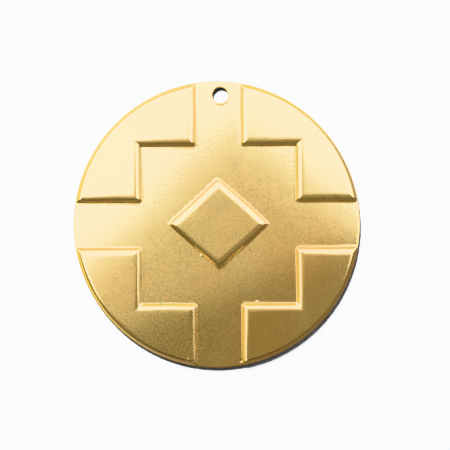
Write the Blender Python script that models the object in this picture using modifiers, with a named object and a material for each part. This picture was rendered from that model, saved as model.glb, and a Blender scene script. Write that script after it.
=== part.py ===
"""Stamped brass disc with a hanging hole.

One round blank of sheet brass is struck between two dies. The strike presses a stepped cross
into it: four narrow arms that reach the rim, and a wide square in the middle. What stays proud
is four corner plates and a diamond. The plates round down to floor level at the rim itself, where
a hairline of flange is left outside them.

Metres, +Z up. The disc lies on its back, with the origin under the middle of the blank on the
surface that it rests on. +Y points to the hanging hole and +X to the right of the face.
"""

import math

import bmesh
import bpy
from mathutils import Matrix, Vector

MM = 0.001

# The blank
DISC_RADIUS = 15.875 * MM
SHEET = 0.5 * MM
RIM_SEGMENTS = 128
SHELL_SKIN = 0.01 * MM  # Solidify lifts its source surface by this much, whatever its offset

# The struck pattern, measured at floor level, about its own centre
RELIEF = 0.5 * MM
FLANGE = 0.06 * MM
ARM_HALF_WIDTH = 2.43 * MM
SQUARE_HALF_X = 8.51 * MM
SQUARE_HALF_Y = 8.66 * MM
DIAMOND_HALF_X = 5.72 * MM
DIAMOND_HALF_Y = 5.17 * MM
DIAMOND_RISE = 0.11 * MM
PLATE_ARC_SEGMENTS = 20

# The step between two levels: a tight foot, a straight wall and a soft shoulder
WALL_ANGLE = math.radians(50)
FOOT_RADIUS = 0.12 * MM
FOOT_FACETS = 1
SHOULDER_RADIUS = 0.8 * MM
SHOULDER_FACETS = 3

# The dies sit slightly off the blank's centre, and turned
PATTERN_SHIFT = Vector((0.23 * MM, -0.02 * MM, 0))
PATTERN_TURN = math.radians(0.35)

# The punched hole, whose upper edge the punch rolls over
HOLE_X = 0.37 * MM
HOLE_Y = 14.38 * MM
HOLE_RADIUS = 0.875 * MM
HOLE_SEGMENTS = 32
ROLL_WIDTH = 0.2 * MM
ROLL_DEPTH = 0.15 * MM
CUTTER_REACH = 1 * MM

BRASS_COLOUR = (0.72, 0.50, 0.20, 1)
BRASS_ROUGHNESS = 0.32


def clear_scene():
    for item in list(bpy.data.objects):
        bpy.data.objects.remove(item, do_unlink=True)


def new_collection(name):
    collection = bpy.data.collections.new(name)
    bpy.context.scene.collection.children.link(collection)
    return collection


def new_object(name, bm, collection):
    """The bmesh as an object, shaded smooth except at its real edges."""
    mesh = bpy.data.meshes.new(name)
    bm.to_mesh(mesh)
    bm.free()
    mesh.shade_smooth()
    mesh.set_sharp_from_angle(angle=math.radians(40))
    item = bpy.data.objects.new(name, mesh)
    collection.objects.link(item)
    return item


def brass():
    material = bpy.data.materials.new("raw_brass")
    material.use_nodes = True
    shader = material.node_tree.nodes["Principled BSDF"]
    shader.inputs["Base Color"].default_value = BRASS_COLOUR
    shader.inputs["Metallic"].default_value = 1
    shader.inputs["Roughness"].default_value = BRASS_ROUGHNESS
    return material


def step_profile():
    """(run, rise) from the foot of a step to its flat top, on the struck side."""
    points = []
    for facet in range(FOOT_FACETS + 1):
        angle = WALL_ANGLE * facet / FOOT_FACETS
        points.append((FOOT_RADIUS * math.sin(angle), FOOT_RADIUS * (1 - math.cos(angle))))
    foot_run, foot_rise = points[-1]
    shoulder_rise = SHOULDER_RADIUS * (1 - math.cos(WALL_ANGLE))
    wall_run = (RELIEF - foot_rise - shoulder_rise) / math.tan(WALL_ANGLE)
    centre_run = foot_run + wall_run + SHOULDER_RADIUS * math.sin(WALL_ANGLE)
    centre_rise = RELIEF - SHOULDER_RADIUS
    for facet in range(SHOULDER_FACETS + 1):
        angle = WALL_ANGLE * (1 - facet / SHOULDER_FACETS)
        run = centre_run - SHOULDER_RADIUS * math.sin(angle)
        rise = centre_rise + SHOULDER_RADIUS * math.cos(angle)
        points.append((run, rise))
    return points


def rim_outline():
    """The blank's edge, in the pattern's frame."""
    turns = [2 * math.pi * i / RIM_SEGMENTS for i in range(RIM_SEGMENTS)]
    return [DISC_RADIUS * Vector((math.cos(a), math.sin(a), 0)) - PATTERN_SHIFT for a in turns]


def plate_outline(side_x, side_y):
    """The foot of one corner plate: an arc inside the flange, then the steps of the cross."""
    radius = DISC_RADIUS - FLANGE
    arm_y = side_y * ARM_HALF_WIDTH + PATTERN_SHIFT.y
    arm_x = side_x * ARM_HALF_WIDTH + PATTERN_SHIFT.x
    start = math.atan2(arm_y, side_x * math.sqrt(radius**2 - arm_y**2))
    end = math.atan2(side_y * math.sqrt(radius**2 - arm_x**2), arm_x)
    outline = []
    for i in range(PLATE_ARC_SEGMENTS + 1):
        angle = start + (end - start) * i / PLATE_ARC_SEGMENTS
        outline.append(radius * Vector((math.cos(angle), math.sin(angle), 0)) - PATTERN_SHIFT)
    corners = (
        (ARM_HALF_WIDTH, SQUARE_HALF_Y),
        (SQUARE_HALF_X, SQUARE_HALF_Y),
        (SQUARE_HALF_X, ARM_HALF_WIDTH),
    )
    outline += [Vector((side_x * x, side_y * y, 0)) for x, y in corners]
    return outline if side_x == side_y else outline[::-1]


def diamond_outline():
    return [
        Vector((DIAMOND_HALF_X, DIAMOND_RISE, 0)),
        Vector((0, DIAMOND_HALF_Y + DIAMOND_RISE, 0)),
        Vector((-DIAMOND_HALF_X, DIAMOND_RISE, 0)),
        Vector((0, -DIAMOND_HALF_Y + DIAMOND_RISE, 0)),
    ]


def add_loop(bm, outline):
    verts = [bm.verts.new(point) for point in outline]
    edges = [bm.edges.new((a, b)) for a, b in zip(verts, verts[1:] + verts[:1])]
    return verts, edges


def raise_region(bm, face):
    """Lift one face out of the floor along the step profile."""
    profile = step_profile()
    for (run, rise), (next_run, next_rise) in zip(profile, profile[1:]):
        bmesh.ops.inset_region(bm, faces=[face], thickness=next_run - run, use_even_offset=True)
        bmesh.ops.translate(bm, verts=face.verts, vec=(0, 0, next_rise - rise))


def struck_surface():
    """The struck face of the disc, as one open surface in its final place."""
    bm = bmesh.new()
    outlines = [plate_outline(x, y) for x in (-1, 1) for y in (-1, 1)] + [diamond_outline()]
    _, floor_edges = add_loop(bm, rim_outline())
    raised = []
    for outline in outlines:
        verts, edges = add_loop(bm, outline)
        floor_edges += edges
        raised.append(verts)
    bmesh.ops.triangle_fill(bm, edges=floor_edges, use_beauty=True, normal=(0, 0, 1))
    for verts in raised:
        face = bm.faces.new(verts)
        face.normal_update()
        raise_region(bm, face)
    turn = Matrix.Rotation(PATTERN_TURN, 4, "Z")
    bmesh.ops.transform(bm, matrix=Matrix.Translation(PATTERN_SHIFT) @ turn, verts=bm.verts)
    bmesh.ops.translate(bm, verts=bm.verts, vec=(0, 0, SHEET - SHELL_SKIN))
    return bm


def hole_cutter(collection):
    """A round punch with a flared collar, which takes off the edge that the punch rolls over."""
    bm = bmesh.new()
    flare = ROLL_WIDTH * (1 + CUTTER_REACH / ROLL_DEPTH)
    radii_and_heights = (
        (0, SHEET + CUTTER_REACH),
        (HOLE_RADIUS + flare, SHEET + CUTTER_REACH),
        (HOLE_RADIUS, SHEET - ROLL_DEPTH),
        (HOLE_RADIUS, -CUTTER_REACH),
        (0, -CUTTER_REACH),
    )
    verts = [bm.verts.new((radius, 0, height)) for radius, height in radii_and_heights]
    for a, b in zip(verts, verts[1:]):
        bm.edges.new((a, b))
    cutter = new_object("hole_cutter", bm, collection)
    cutter.location = (HOLE_X, HOLE_Y, 0)
    turned = cutter.modifiers.new("Screw", "SCREW")
    turned.steps = HOLE_SEGMENTS
    turned.render_steps = HOLE_SEGMENTS
    turned.use_merge_vertices = True
    turned.merge_threshold = 0.00001
    cutter.display_type = "WIRE"
    cutter.hide_render = True
    return cutter


def stamped_disc(collection, cutters):
    disc = new_object("stamped_disc", struck_surface(), collection)
    disc.data.materials.append(brass())
    sheet = disc.modifiers.new("Sheet", "SOLIDIFY")
    sheet.solidify_mode = "NON_MANIFOLD"
    sheet.nonmanifold_thickness_mode = "CONSTRAINTS"
    sheet.nonmanifold_boundary_mode = "FLAT"
    sheet.nonmanifold_merge_threshold = 0.000001
    sheet.thickness = SHEET - SHELL_SKIN
    sheet.offset = -1
    hole = disc.modifiers.new("Hole", "BOOLEAN")
    hole.object = hole_cutter(cutters)
    hole.operation = "DIFFERENCE"
    return disc


def main():
    clear_scene()
    stamped_disc(new_collection("stamped_brass_disc"), new_collection("cutters"))


main()
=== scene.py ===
"""Looks of the stamped brass disc: a fine mesh of the struck sheet, raw brass, floor and light.

Lengths in the geometry functions are in millimetres, and become metres where a mesh is made.
The pattern has its own frame: its centre is SHIFT away from the blank's, and it is turned by TURN.
"""

import math

import bpy
import numpy as np
from mathutils import Euler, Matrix, Vector, geometry, noise


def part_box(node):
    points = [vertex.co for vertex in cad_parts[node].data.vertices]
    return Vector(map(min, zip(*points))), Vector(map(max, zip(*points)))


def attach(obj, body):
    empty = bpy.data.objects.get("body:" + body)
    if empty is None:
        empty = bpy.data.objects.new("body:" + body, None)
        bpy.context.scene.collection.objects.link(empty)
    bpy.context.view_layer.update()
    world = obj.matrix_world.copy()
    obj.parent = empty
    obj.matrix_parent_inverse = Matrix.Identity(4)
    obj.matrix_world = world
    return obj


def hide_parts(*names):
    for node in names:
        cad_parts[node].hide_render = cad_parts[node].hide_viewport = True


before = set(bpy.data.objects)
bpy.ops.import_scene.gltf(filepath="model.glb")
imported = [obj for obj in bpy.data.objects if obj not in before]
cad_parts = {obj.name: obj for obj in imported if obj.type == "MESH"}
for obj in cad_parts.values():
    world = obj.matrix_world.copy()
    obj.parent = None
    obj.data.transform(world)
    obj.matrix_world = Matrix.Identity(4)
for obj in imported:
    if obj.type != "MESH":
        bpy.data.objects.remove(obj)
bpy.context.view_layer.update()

MM = 0.001
LOW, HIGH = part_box("stamped_disc")

# The blank, from the CAD box: half of its height is sheet, and half is relief
RADIUS = (HIGH.x - LOW.x) / 2 / MM
SHEET = (HIGH.z - LOW.z) / 2 / MM
RELIEF = SHEET

# The struck pattern and the hole, as in the CAD. ARM, SQUARE and DIAMOND are half widths.
FLANGE = 0.06
ARM = 2.43
SQUARE_X = 8.51
SQUARE_Y = 8.66
DIAMOND_X = 5.72
DIAMOND_Y = 5.17
DIAMOND_RISE = 0.11
SHIFT = np.array([0.23, -0.02])
TURN = math.radians(0.35)
HOLE_CENTRE = np.array([0.37, 14.38])
HOLE_RADIUS = 0.875

# The step between two levels: a foot, a straight wall and a shoulder
WALL_ANGLE = math.radians(46)
FOOT_RUN = 0.04
SHOULDER_RUN = 0.88
SHOULDER_POWER = 2.3  # how much gentler the shoulder's bend is at its top than at the wall
RIM_SQUEEZE = 1.4  # how much narrower a plate's step is at the rim than elsewhere

# What the strike and the punch leave, finer than the CAD
INNER_CORNER = 0.45
RIM_CORNER = 0.3
TIP_ROUND_X = 0.16
TIP_ROUND_Y = 0.14
RIM_ROLL = (0.12, 0.06)  # width and depth
HOLE_ROLL = (0.1, 0.06)
ROLL_POWER = 1.6
LIP_HEIGHT = 0.045  # of the lip that the punch raises round the hole
LIP_REACH = 0.12
LIP_END = HOLE_ROLL[0] + 2.5 * LIP_REACH
BURR_ROUND = 0.04

# Unevenness of the strike
WAVER = 0.05  # how far an edge wanders sideways
WAVER_LENGTH = 2.6
SWELL = 0.012  # how far a flat area rises and falls
SWELL_LENGTH = 8.0
SWELL_TOP = 0.6  # where in the swells the nominal surface is, so that few of them rise above it
SINK = 0.0025  # how far the floor dips at the foot of a step
SINK_REACH = 0.35
CROWN = 0.0004  # how fast the disc falls away outside CROWN_START
CROWN_START = 9.0
LAYER_GAP = 7.3  # between the noise layers

# Burrs and dents: x, y, radius and height
MARKS = (
    (-1.70, -3.38, 0.15, 0.03),
    (4.44, -8.56, 0.15, 0.09),
    (-3.15, -15.00, 0.30, 0.06),
    (-2.67, -15.10, 0.20, -0.06),
    (2.66, -15.10, 0.22, -0.06),
    (3.25, -15.05, 0.24, 0.05),
)

# Mesh spacing
RIM_POINTS = 400
HOLE_POINTS = 80
MARK_POINTS = 12
MARK_RINGS = (0.3, 0.65, 1)  # as shares of the mark's radius
RING_STEP = 0.15
FLAT_STEP = 0.3
FOOT_STEPS = 3
SHOULDER_STEPS = 8
ROLL_LOOPS = 5
WALL_ROWS = 4
BURR_STEPS = 3
BACK_COARSENESS = 2  # how much wider the spacing is on the back
SLACK = 0.001
MERGE_DISTANCE = 1e-6
SETTLING_PASSES = 4
SLOPE_REACH = 1e-4
LEAST_STEEPNESS = 0.2


def turned(points, angle):
    c, s = math.cos(angle), math.sin(angle)
    return points @ np.array([[c, s], [-s, c]])


def to_disc(points):
    """From the pattern's frame to the blank's."""
    return turned(points, TURN) + SHIFT


def to_pattern(points):
    return turned(points - SHIFT, -TURN)


DISC_CENTRE = to_pattern(np.zeros((1, 2)))[0]


def smooth_noise(points, wavelength, layer):
    """Values from -1 to 1 that vary smoothly over the disc. Each layer is its own pattern."""
    places = np.column_stack([points / wavelength, np.full(len(points), LAYER_GAP * layer)])
    return np.array([noise.noise(Vector(place)) for place in places.tolist()])


def step_profile(thickness):
    """(run, rise) across a step for the struck side (thickness 0) or the back (the sheet's)."""
    foot = WALL_ANGLE * np.linspace(0, 1, FOOT_STEPS + 1)
    shoulder = WALL_ANGLE * np.linspace(1, 0, SHOULDER_STEPS + 1) ** SHOULDER_POWER
    foot_runs = np.full(FOOT_STEPS, FOOT_RUN / FOOT_STEPS)
    shoulder_runs = np.full(SHOULDER_STEPS, SHOULDER_RUN / SHOULDER_STEPS)
    runs = np.concatenate([foot_runs, [0], shoulder_runs])
    angles = np.concatenate([foot, shoulder])
    rises = runs * np.tan((angles[1:] + angles[:-1]) / 2)
    wall_rise = RELIEF - rises.sum()
    rises[FOOT_STEPS] = wall_rise
    runs[FOOT_STEPS] = wall_rise / math.tan(WALL_ANGLE)
    run = np.concatenate([[0], np.cumsum(runs)]) + thickness * np.sin(angles)
    rise = np.concatenate([[0], np.cumsum(rises)]) + thickness * (1 - np.cos(angles))
    return np.stack([run, rise], axis=1)


def rounded_min(a, b, radius):
    """The smaller of two distances to a corner's sides, with the corner rounded off."""
    u = np.maximum(radius - a, 0)
    v = np.maximum(radius - b, 0)
    least = np.minimum(a, b)
    return np.where(least < radius, radius - np.hypot(u, v), least)


def plate_distance(points, side):
    """Distance inside the foot of the corner plate on that side, in the pattern's frame."""
    x = points[:, 0] * side[0]
    y = points[:, 1] * side[1]
    from_rim = RIM_SQUEEZE * (RADIUS - FLANGE - np.hypot(*(points - DISC_CENTRE).T))
    from_square = np.maximum(x - SQUARE_X, y - SQUARE_Y)
    across_x = rounded_min(x - ARM, from_square, INNER_CORNER)
    across_y = rounded_min(y - ARM, from_square, INNER_CORNER)
    below_rim = [rounded_min(across, from_rim, RIM_CORNER) for across in (across_x, across_y)]
    return np.minimum(*below_rim)


def diamond_distance(points):
    x = np.hypot(points[:, 0], TIP_ROUND_X)
    y = np.hypot(points[:, 1] - DIAMOND_RISE, TIP_ROUND_Y)
    return (1 - x / DIAMOND_X - y / DIAMOND_Y) / math.hypot(1 / DIAMOND_X, 1 / DIAMOND_Y)


SIDES = [(x, y) for x in (-1, 1) for y in (-1, 1)]


def raised_distance(points):
    """Distance inside the nearest raised region; negative on the floor."""
    fields = [plate_distance(points, side) for side in SIDES] + [diamond_distance(points)]
    return np.max(fields, axis=0)


def sampled(corners, step):
    """Points at most a step apart along a closed outline, with every corner among them."""
    pieces = []
    for a, b in zip(corners, np.roll(corners, -1, axis=0)):
        count = max(1, math.ceil(np.hypot(*(b - a)) / step))
        pieces.append(a + (b - a) * np.arange(count)[:, None] / count)
    return np.vstack(pieces)


def settled(points, field, level):
    """The points, moved along the field's slope to where it has that level."""
    nudges = np.array([(SLOPE_REACH, 0), (0, SLOPE_REACH)])
    for _ in range(SETTLING_PASSES):
        rises = [field(points + nudge) - field(points - nudge) for nudge in nudges]
        slope = np.stack(rises, axis=1) / (2 * SLOPE_REACH)
        steep = np.maximum((slope**2).sum(axis=1), LEAST_STEEPNESS)
        points = points + slope * ((level - field(points)) / steep)[:, None]
    return points


def plate_ring(side, level, step):
    """The line inside a corner plate where its distance field has that level."""
    radius = RADIUS - FLANGE - level / RIM_SQUEEZE
    arm = ARM + level
    start = math.asin((arm - DISC_CENTRE[1] * side[1]) / radius)
    end = math.acos((arm - DISC_CENTRE[0] * side[0]) / radius)
    angles = np.linspace(start, end, math.ceil(radius * (end - start) / step) + 1)
    arc = radius * np.stack([np.cos(angles), np.sin(angles)], axis=1)
    arc += DISC_CENTRE * side
    square_x = SQUARE_X + level
    square_y = SQUARE_Y + level
    corners = np.array([(arm, square_y), (square_x, square_y), (square_x, arm)])
    ring = sampled(np.vstack([arc, corners]), step) * side
    return settled(ring, lambda p: plate_distance(p, side), level)


def diamond_ring(level, step):
    shrink = 1 - level * math.hypot(1 / DIAMOND_X, 1 / DIAMOND_Y)
    tips = np.array([(DIAMOND_X, 0), (0, DIAMOND_Y), (-DIAMOND_X, 0), (0, -DIAMOND_Y)])
    ring = sampled(tips * shrink + [0, DIAMOND_RISE], step)
    return settled(ring, diamond_distance, level)


def circle(centre, radius, count):
    angles = np.arange(count) * 2 * math.pi / count
    return centre + radius * np.stack([np.cos(angles), np.sin(angles)], axis=1)


def rim_gap(points):
    return RADIUS - np.hypot(*points.T)


def hole_gap(points):
    return np.hypot(*(points - HOLE_CENTRE).T) - HOLE_RADIUS


def rolled(gap, roll):
    """How far the metal is drawn down at a distance from a sheared edge."""
    width, depth = roll
    return depth * np.clip(1 - gap / width, 0, 1) ** ROLL_POWER


def flat_points(step, levels):
    """A triangular lattice over the blank, clear of the rings, the rim and the hole."""
    rows = np.arange(-RADIUS, RADIUS, step * math.sqrt(0.75))
    columns = np.arange(-RADIUS, RADIUS, step)
    x, y = np.meshgrid(columns, rows)
    x = x + np.where(np.arange(len(rows)) % 2, step / 2, 0)[:, None]
    points = np.stack([x.ravel(), y.ravel()], axis=1)
    inside = raised_distance(to_pattern(points))
    margin = step / 3
    clear = (inside < -margin) | (inside > levels[-1] + margin)
    clear &= rim_gap(points) > RIM_ROLL[0] + margin
    clear &= hole_gap(points) > LIP_END + margin
    return points[clear]


def edge_loops(rim_inset, hole_outset, roll_loops):
    """Circles along the rim and the hole, and through their rolled edges, the lip and the marks."""
    middle = np.zeros(2)
    loops = [
        circle(middle, RADIUS - rim_inset, RIM_POINTS),
        circle(HOLE_CENTRE, HOLE_RADIUS + hole_outset, HOLE_POINTS),
    ]
    for share in np.arange(1, roll_loops + 1) / max(1, roll_loops):
        lip_outset = HOLE_ROLL[0] + share * (LIP_END - HOLE_ROLL[0])
        loops.append(circle(middle, RADIUS - share * RIM_ROLL[0], RIM_POINTS))
        loops.append(circle(HOLE_CENTRE, HOLE_RADIUS + share * HOLE_ROLL[0], HOLE_POINTS))
        loops.append(circle(HOLE_CENTRE, HOLE_RADIUS + lip_outset, HOLE_POINTS))
    marks = MARKS if roll_loops else ()
    for x, y, radius, _ in marks:
        loops += [circle(np.array([x, y]), radius * share, MARK_POINTS) for share in MARK_RINGS]
    return loops


def step_loops(levels, step):
    """Rings round every raised region, one at each of the levels."""
    loops = []
    for level in levels:
        loops += [to_disc(plate_ring(side, level, step)) for side in SIDES]
        loops.append(to_disc(diamond_ring(level, step)))
    return loops


def loop_edges(loops):
    """The edges of closed loops whose points are numbered one loop after the other."""
    edges = []
    start = 0
    for loop in loops:
        index = start + np.arange(len(loop))
        edges += list(zip(index.tolist(), np.roll(index, -1).tolist()))
        start += len(loop)
    return edges


def net(profile, ring_step, flat_step, rim_inset, hole_outset, roll_loops):
    """Triangles over the blank between the rim and the hole, with edges along every loop.

    Returns the points, the triangles, and the indices of the rim's and the hole's points.
    """
    levels = profile[:, 0]
    loops = edge_loops(rim_inset, hole_outset, roll_loops) + step_loops(levels, ring_step)
    points = np.vstack(loops + [flat_points(flat_step, levels)])
    flat = [Vector(point) for point in points.tolist()]
    made = geometry.delaunay_2d_cdt(flat, loop_edges(loops), [], 0, MERGE_DISTANCE, True)
    places = np.array([tuple(place) for place in made[0]])
    faces = np.array(list(made[2]))
    middles = places[faces].mean(axis=1)
    faces = faces[hole_gap(middles) > hole_outset - SLACK]
    of_input = {source: index for index, sources in enumerate(made[3]) for source in sources}
    rim = [of_input[i] for i in range(RIM_POINTS)]
    hole = [of_input[RIM_POINTS + i] for i in range(HOLE_POINTS)]
    return places, faces, rim, hole


def unevenness(points, inside):
    """Swells of the flat areas, dips beside the steps, a fall towards the rim, and the marks."""
    z = SWELL * (smooth_noise(points, SWELL_LENGTH, 3) - SWELL_TOP)
    z -= SINK * np.exp(-np.abs(inside) / SINK_REACH) * (inside < 0)
    z -= SINK * np.clip(1 - inside / FOOT_RUN, 0, 1) * (inside >= 0)
    z -= CROWN * np.clip(np.hypot(*points.T) - CROWN_START, 0, None) ** 2
    z += LIP_HEIGHT * np.exp(-(((hole_gap(points) - LIP_REACH) / LIP_REACH) ** 2))
    for x, y, radius, height in MARKS:
        share = np.hypot(*(points - [x, y]).T) / radius
        z += height * np.clip(1 - share**2, 0, 1) ** 2
    return z


def struck_heights(points):
    inside = raised_distance(to_pattern(points))
    profile = step_profile(0)
    z = SHEET + np.interp(inside, profile[:, 0], profile[:, 1]) + unevenness(points, inside)
    z -= rolled(rim_gap(points), RIM_ROLL) + rolled(hole_gap(points), HOLE_ROLL)
    return np.minimum(z, SHEET + RELIEF)


def back_heights(points):
    inside = raised_distance(to_pattern(points))
    profile = step_profile(SHEET)
    return np.interp(inside, profile[:, 0], profile[:, 1])


def edge_rows():
    """(inset, height) down a sheared edge to the back, as shares of the rolled edge's height."""
    wall = [(0, share) for share in np.linspace(1, 0, WALL_ROWS + 1)[1:-1]]
    angles = np.linspace(0, math.pi / 2, BURR_STEPS + 1)[1:-1]
    burr = [(BURR_ROUND * (1 - math.cos(a)), -math.sin(a)) for a in angles]
    return wall + [(0, 0)] + burr


def band(upper, lower, outward):
    """Quads between two rings of as many points, facing away from the sheet."""
    pairs = zip(upper, lower, np.roll(lower, -1).tolist(), np.roll(upper, -1).tolist())
    return [list(quad) if outward else list(quad)[::-1] for quad in pairs]


def add_edge(verts, faces, top, bottom, centre, radius, outward):
    """Close the sheet along its rim or its hole."""
    side = 1 if outward else -1
    start_heights = np.array([verts[i][2] for i in top])
    last = top
    for inset, share in edge_rows():
        ring = circle(centre, radius - side * inset, len(top))
        if share >= 0:
            z = BURR_ROUND + share * (start_heights - BURR_ROUND)
        else:
            z = np.full(len(top), BURR_ROUND * (1 + share))
        index = list(range(len(verts), len(verts) + len(top)))
        verts += np.column_stack([ring, z]).tolist()
        faces += band(last, index, outward)
        last = index
    faces += band(last, bottom, outward)


def waver(points):
    """Sideways wander of everything but the rim and the hole."""
    free = np.clip(rim_gap(points), 0, 1) * np.clip(hole_gap(points), 0, 1)
    aside = [smooth_noise(points, WAVER_LENGTH, layer) for layer in (1, 2)]
    return WAVER * free[:, None] * np.stack(aside, axis=1)


def add_side(verts, faces, net_parts, heights, facing_up):
    """Add the front or the back, and return its rim's and its hole's vertices."""
    places, triangles, rim, hole = net_parts
    start = len(verts)
    verts += np.column_stack([places, heights(places)]).tolist()
    facing = triangles if facing_up else triangles[:, ::-1]
    faces += (facing + start).tolist()
    return [start + i for i in rim], [start + i for i in hole]


def disc_mesh():
    """The whole struck sheet as one closed surface, in metres."""
    verts = []
    faces = []
    front = net(step_profile(0), RING_STEP, FLAT_STEP, 0, 0, ROLL_LOOPS)
    front_rim, front_hole = add_side(verts, faces, front, struck_heights, True)
    back_steps = (BACK_COARSENESS * RING_STEP, BACK_COARSENESS * FLAT_STEP)
    back = net(step_profile(SHEET), *back_steps, BURR_ROUND, BURR_ROUND, 0)
    back_rim, back_hole = add_side(verts, faces, back, back_heights, False)
    add_edge(verts, faces, front_rim, back_rim, np.zeros(2), RADIUS, True)
    add_edge(verts, faces, front_hole, back_hole, HOLE_CENTRE, HOLE_RADIUS, False)
    verts = np.array(verts)
    verts[:, :2] += waver(verts[:, :2])
    mesh = bpy.data.meshes.new("struck_sheet")
    mesh.from_pydata((verts * MM).tolist(), [], faces)
    mesh.validate()
    mesh.shade_smooth()
    return mesh


# Camera, in millimetres; the width of the view is at the disc's face
CAMERA_HEIGHT = 200
CAMERA_LENS = 150
VIEW_WIDTH = 49.83
VIEW_CENTRE = (0.905, -0.04)

# Level light panels over the disc. A point on a panel is PANEL_SPREAD times as far out as the
# place on the disc where the camera sees it mirrored.
PANEL_HEIGHT = 40
PANEL_DEPTH = 170
PANEL_WIDTH = 84
PANEL_SPREAD = 1 + PANEL_HEIGHT / CAMERA_HEIGHT
COOL_LIGHT = (0.75, 0.86, 0.97)
WARM_LIGHT = (1.0, 0.97, 0.88)

# The panels: name, azimuth in degrees, edge, radiance and colour
PANELS = (
    ("overhead_left", 135, 7.5, 7.0, COOL_LIGHT),
    ("overhead_right", 54, 10.7, 6.8, COOL_LIGHT),
    ("overhead_dim", 113, -6.9, 0.72, WARM_LIGHT),
    ("overhead_fill", 0, -PANEL_DEPTH / 2 / PANEL_SPREAD, 0.31, WARM_LIGHT),
)

# Sun that throws the shadow
KEY_AZIMUTH = math.radians(114)
KEY_ELEVATION = math.radians(41)
KEY_SPREAD = math.radians(18)
KEY_STRENGTH = 20

# World, with the directions in which its table and its walls are bright
ROOM_COLOUR = (1, 0.98, 1, 1)
TABLE_COLOUR = (1, 0.98, 0.42, 1)
TABLE_AZIMUTH = math.radians(131)
WALLS_AZIMUTH = math.radians(95)
TABLE_STRENGTH = 2.3
TABLE_FALL = 1.7

# Floor
FLOOR_COLOUR = (0.64, 0.645, 0.66, 1)
FLOOR_ROUGHNESS = 0.9
FLOOR_HALF = 2000

# Brass
BRIGHT_BRASS = (0.86, 0.61, 0.25, 1)
RUDDY_BRASS = (0.87, 0.55, 0.21, 1)
# Olive tarnish, which is also the colour of two patches of painted shade among the stains
OLIVE_TARNISH_AND_SHADE = (0.50, 0.40, 0.19, 1)
DULL_BRASS = (0.46, 0.34, 0.15, 1)
VERDIGRIS = (0.20, 0.36, 0.16, 1)
DARK_SPOT = (0.10, 0.075, 0.03, 1)
ROUGHNESS = (0.16, 0.185)

# Spots and stains on the face, and two patches of painted shade: x, y, radius, colour and strength
STAINS_AND_SHADE = (
    (-6.21, -8.78, 0.20, VERDIGRIS, 0.9),
    (3.66, -2.79, 0.15, DARK_SPOT, 0.6),
    (-5.77, 8.30, 0.13, DARK_SPOT, 0.7),
    (-3.66, 7.63, 0.12, DARK_SPOT, 0.6),
    (7.32, 8.41, 0.12, DARK_SPOT, 0.8),
    (7.32, 7.41, 0.12, DARK_SPOT, 0.7),
    (2.20, 13.70, 0.13, OLIVE_TARNISH_AND_SHADE, 0.6),
    # The next two are painted shade: olive patches that darken a band near the diamond, where the
    # slightly curved sheet is shaded
    (2.00, 6.60, 0.60, OLIVE_TARNISH_AND_SHADE, 0.3),
    (0.00, 2.40, 2.00, OLIVE_TARNISH_AND_SHADE, 0.2),
)

# Where the brass is ruddier, and where it is more worn: x, y and radius
RUDDY_AREAS = (
    (10.0, -4.0, 7.0),
    (5.0, -12.0, 6.0),
)
WORN_AREA = (-5.0, -12.0, 6.0)


def new_material(name):
    material = bpy.data.materials.new(name)
    material.use_nodes = True
    tree = material.node_tree
    return material, tree, tree.nodes["Principled BSDF"]


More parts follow.
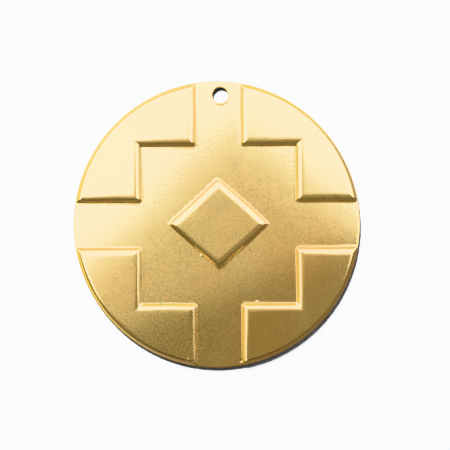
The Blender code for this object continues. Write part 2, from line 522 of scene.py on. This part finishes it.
class Nodes:
    """Short calls for the nodes of one tree, in millimetres over the disc."""

    def __init__(self, tree, coordinates="Object"):
        self.tree = tree
        self.coord = tree.nodes.new("ShaderNodeTexCoord").outputs[coordinates]
        self.place = self.scaled(self.coord, (1 / MM, 1 / MM, 1 / MM))

    def vector_math(self, operation, vector, other):
        node = self.tree.nodes.new("ShaderNodeVectorMath")
        node.operation = operation
        self.tree.links.new(vector, node.inputs[0])
        node.inputs[1].default_value = other
        return node.outputs

    def dot(self, direction):
        return self.vector_math("DOT_PRODUCT", self.coord, direction)["Value"]

    def along(self, azimuth):
        """How far the coordinates reach in a level direction."""
        return self.dot((math.cos(azimuth), math.sin(azimuth), 0))

    def scaled(self, vector, factors):
        return self.vector_math("MULTIPLY", vector, factors)["Vector"]

    def noise(self, size, detail=2.0, stretch=(1, 1, 1), shift=0.0):
        """Noise whose features are about size millimetres across."""
        node = self.tree.nodes.new("ShaderNodeTexNoise")
        node.noise_dimensions = "4D"
        node.inputs["W"].default_value = shift
        node.inputs["Scale"].default_value = 1 / size
        node.inputs["Detail"].default_value = detail
        self.tree.links.new(self.scaled(self.place, stretch), node.inputs["Vector"])
        return node.outputs["Fac"]

    def eased(self, value, low, high, start=0.0, end=1.0):
        return self.ranged(value, low, high, start, end, "SMOOTHSTEP")

    def ranged(self, value, low, high, start, end, interpolation="LINEAR"):
        node = self.tree.nodes.new("ShaderNodeMapRange")
        node.interpolation_type = interpolation
        node.inputs["From Min"].default_value = low
        node.inputs["From Max"].default_value = high
        node.inputs["To Min"].default_value = start
        node.inputs["To Max"].default_value = end
        self.tree.links.new(value, node.inputs["Value"])
        return node.outputs["Result"]

    def fill(self, socket, value):
        """Link the value to the socket, or set it there if it is a plain number or colour."""
        if isinstance(value, bpy.types.NodeSocket):
            self.tree.links.new(value, socket)
        else:
            socket.default_value = value

    def math(self, operation, a, b):
        node = self.tree.nodes.new("ShaderNodeMath")
        node.operation = operation
        self.fill(node.inputs[0], a)
        self.fill(node.inputs[1], b)
        return node.outputs[0]

    def product(self, first, *others):
        for other in others:
            first = self.math("MULTIPLY", first, other)
        return first

    def mix(self, factor, a, b):
        """A mixed colour; inputs 6 and 7 and output 2 of the node are its colour sockets."""
        node = self.tree.nodes.new("ShaderNodeMix")
        node.data_type = "RGBA"
        self.tree.links.new(factor, node.inputs["Factor"])
        self.fill(node.inputs[6], a)
        self.fill(node.inputs[7], b)
        return node.outputs[2]

    def spot(self, x, y, radius):
        """1 in the middle of a spot with a ragged edge, 0 outside it."""
        flat = self.scaled(self.place, (1, 1, 0))
        distance = self.vector_math("DISTANCE", flat, (x, y, 0))["Value"]
        ragged = self.product(self.noise(radius * 0.8, 3, shift=x), 0.8 * radius)
        return self.eased(self.math("ADD", distance, ragged), radius * 1.5, radius * 0.6)

    def bump(self, height, distance, normal=None):
        node = self.tree.nodes.new("ShaderNodeBump")
        node.inputs["Strength"].default_value = 1
        node.inputs["Distance"].default_value = distance * MM
        self.tree.links.new(height, node.inputs["Height"])
        if normal:
            self.tree.links.new(normal, node.inputs["Normal"])
        return node.outputs["Normal"]


def brass_colour(nodes):
    """Raw brass: ruddier and olive areas, fine dark grains and scratches, the stains, and two olive
    patches of painted shade.
    """
    ruddy = nodes.eased(nodes.noise(9, 2, shift=2.0), 0.35, 0.7, 0, 0.4)
    olive = nodes.eased(nodes.noise(1.4, 5, shift=5.0), 0.45, 0.85, 0, 0.15)
    worn = nodes.ranged(nodes.spot(*WORN_AREA), 0, 1, 0.36, 0.7)
    grains = nodes.product(nodes.eased(nodes.noise(0.2, 3, shift=9.0), 0.38, 0.66), worn)
    scratches = nodes.eased(nodes.noise(0.25, 3, (1, 0.2, 1), 11.0), 0.55, 0.75, 0, 0.3)
    colour = nodes.mix(ruddy, BRIGHT_BRASS, RUDDY_BRASS)
    for area in RUDDY_AREAS:
        colour = nodes.mix(nodes.spot(*area), colour, RUDDY_BRASS)
    colour = nodes.mix(olive, colour, OLIVE_TARNISH_AND_SHADE)
    colour = nodes.mix(grains, colour, DULL_BRASS)
    colour = nodes.mix(scratches, colour, DULL_BRASS)
    # The stains, and two olive patches of painted shade
    for x, y, radius, stain_and_shade, strength in STAINS_AND_SHADE:
        amount = nodes.product(nodes.spot(x, y, radius), strength)
        colour = nodes.mix(amount, colour, stain_and_shade)
    return colour


def brass():
    material, tree, shader = new_material("raw_brass")
    nodes = Nodes(tree)
    tree.links.new(brass_colour(nodes), shader.inputs["Base Color"])
    shader.inputs["Metallic"].default_value = 1
    roughness = nodes.eased(nodes.noise(1.2, 4, shift=3.0), 0.3, 0.7, *ROUGHNESS)
    tree.links.new(roughness, shader.inputs["Roughness"])
    normal = nodes.bump(nodes.noise(0.3, 3, shift=4.0), 0.0013)
    normal = nodes.bump(nodes.noise(0.2, 2, stretch=(1, 0.06, 1), shift=6.0), 0.0004, normal)
    tree.links.new(normal, shader.inputs["Normal"])
    return material


def build_disc():
    disc = bpy.data.objects.new("struck_sheet", disc_mesh())
    bpy.context.scene.collection.objects.link(disc)
    disc.data.materials.append(brass())
    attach(disc, "root")
    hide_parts("stamped_disc")
    return disc


def build_floor():
    material, _, shader = new_material("floor_white")
    shader.inputs["Base Color"].default_value = FLOOR_COLOUR
    shader.inputs["Roughness"].default_value = FLOOR_ROUGHNESS
    side = FLOOR_HALF * MM
    corners = [(-side, -side, 0), (side, -side, 0), (side, side, 0), (-side, side, 0)]
    mesh = bpy.data.meshes.new("floor")
    mesh.from_pydata(corners, [], [(0, 1, 2, 3)])
    mesh.materials.append(material)
    floor = bpy.data.objects.new("floor", mesh)
    bpy.context.scene.collection.objects.link(floor)
    floor.visible_glossy = False  # the disc reflects the world's table instead
    return floor


def lit_only(lamp, target):
    """Let a lamp light one object and nothing else."""
    receivers = bpy.data.collections.new(lamp.name + "_lights")
    receivers.objects.link(target)
    lamp.light_linking.receiver_collection = receivers


def add_panel(name, azimuth, edge, radiance, colour, disc):
    """A level soft panel, from a straight edge outwards in one direction, which lights the disc.

    The edge is where its mirror image crosses the disc, in millimetres from the centre.
    """
    data = bpy.data.lights.new(name, "AREA")
    data.shape = "RECTANGLE"
    data.size = PANEL_DEPTH * MM
    data.size_y = PANEL_WIDTH * MM
    data.energy = radiance * math.pi * data.size * data.size_y
    data.color = colour
    lamp = bpy.data.objects.new(name, data)
    bpy.context.scene.collection.objects.link(lamp)
    turn = math.radians(azimuth)
    place = Vector((math.cos(turn), math.sin(turn), 0)) * (edge * PANEL_SPREAD + PANEL_DEPTH / 2)
    place.z = PANEL_HEIGHT
    lamp.location = place * MM
    lamp.rotation_euler = Euler((0, 0, turn))
    lamp.visible_camera = False
    lit_only(lamp, disc)


def build_key(floor):
    """The sun that throws the disc's shadow on the floor."""
    sun = bpy.data.lights.new("key", "SUN")
    sun.energy = KEY_STRENGTH
    sun.angle = KEY_SPREAD
    key = bpy.data.objects.new("key", sun)
    bpy.context.scene.collection.objects.link(key)
    towards = Vector((math.cos(KEY_AZIMUTH), math.sin(KEY_AZIMUTH), math.tan(KEY_ELEVATION)))
    key.rotation_euler = towards.to_track_quat("Z", "Y").to_euler()
    lit_only(key, floor)


def world_strength(nodes, height):
    """A dim room, walls that are bright above the horizon, and a table below it."""
    room = nodes.eased(height, 0.2, 0.95, 0.3, 0.08)
    walls = nodes.product(
        nodes.eased(height, 0.65, 0.35),
        nodes.eased(height, 0.05, 0.3, 0.5, 1.8),
        nodes.eased(nodes.along(WALLS_AZIMUTH), -0.28, 0.05),
        nodes.eased(height, -0.16, 0.0),
    )
    side = nodes.ranged(nodes.along(TABLE_AZIMUTH), -1, 1, 0, 1)
    bright = nodes.product(nodes.math("POWER", side, TABLE_FALL), TABLE_STRENGTH)
    table = nodes.product(nodes.eased(height, 0.0, -0.16), bright)
    return nodes.math("ADD", room, nodes.math("ADD", walls, table))


def world_colour(nodes, height):
    """Warm on the table's bright side, below the horizon and well above it; neutral elsewhere."""
    high = nodes.product(nodes.eased(height, 0.5, 0.25), nodes.eased(height, 0.08, 0.14))
    warm = nodes.math("ADD", high, nodes.eased(height, 0.0, -0.02))
    bright_side = nodes.eased(nodes.along(TABLE_AZIMUTH), -0.4, 0.4)
    return nodes.mix(nodes.product(bright_side, warm), ROOM_COLOUR, TABLE_COLOUR)


def build_world():
    world = bpy.data.worlds.new("studio")
    bpy.context.scene.world = world
    world.use_nodes = True
    nodes = Nodes(world.node_tree, "Generated")
    height = nodes.dot((0, 0, 1))
    background = world.node_tree.nodes["Background"]
    nodes.fill(background.inputs["Strength"], world_strength(nodes, height))
    nodes.fill(background.inputs["Color"], world_colour(nodes, height))


def build_camera():
    """Straight over the disc, a little to the side of its centre."""
    data = bpy.data.cameras.new("camera")
    data.lens = CAMERA_LENS
    face_distance = CAMERA_HEIGHT - SHEET - RELIEF / 2
    data.sensor_width = CAMERA_LENS * VIEW_WIDTH / face_distance
    data.clip_start = 0.01
    data.clip_end = 10
    camera = bpy.data.objects.new("camera", data)
    bpy.context.scene.collection.objects.link(camera)
    camera.location = Vector((*VIEW_CENTRE, CAMERA_HEIGHT)) * MM
    bpy.context.scene.camera = camera


disc = build_disc()
floor = build_floor()
for panel in PANELS:
    add_panel(*panel, disc)
build_key(floor)
build_world()
build_camera()
bpy.context.scene.cycles.caustics_reflective = False  # so that the disc throws no glow on the floor
bpy.context.scene.view_settings.view_transform = "Khronos PBR Neutral"
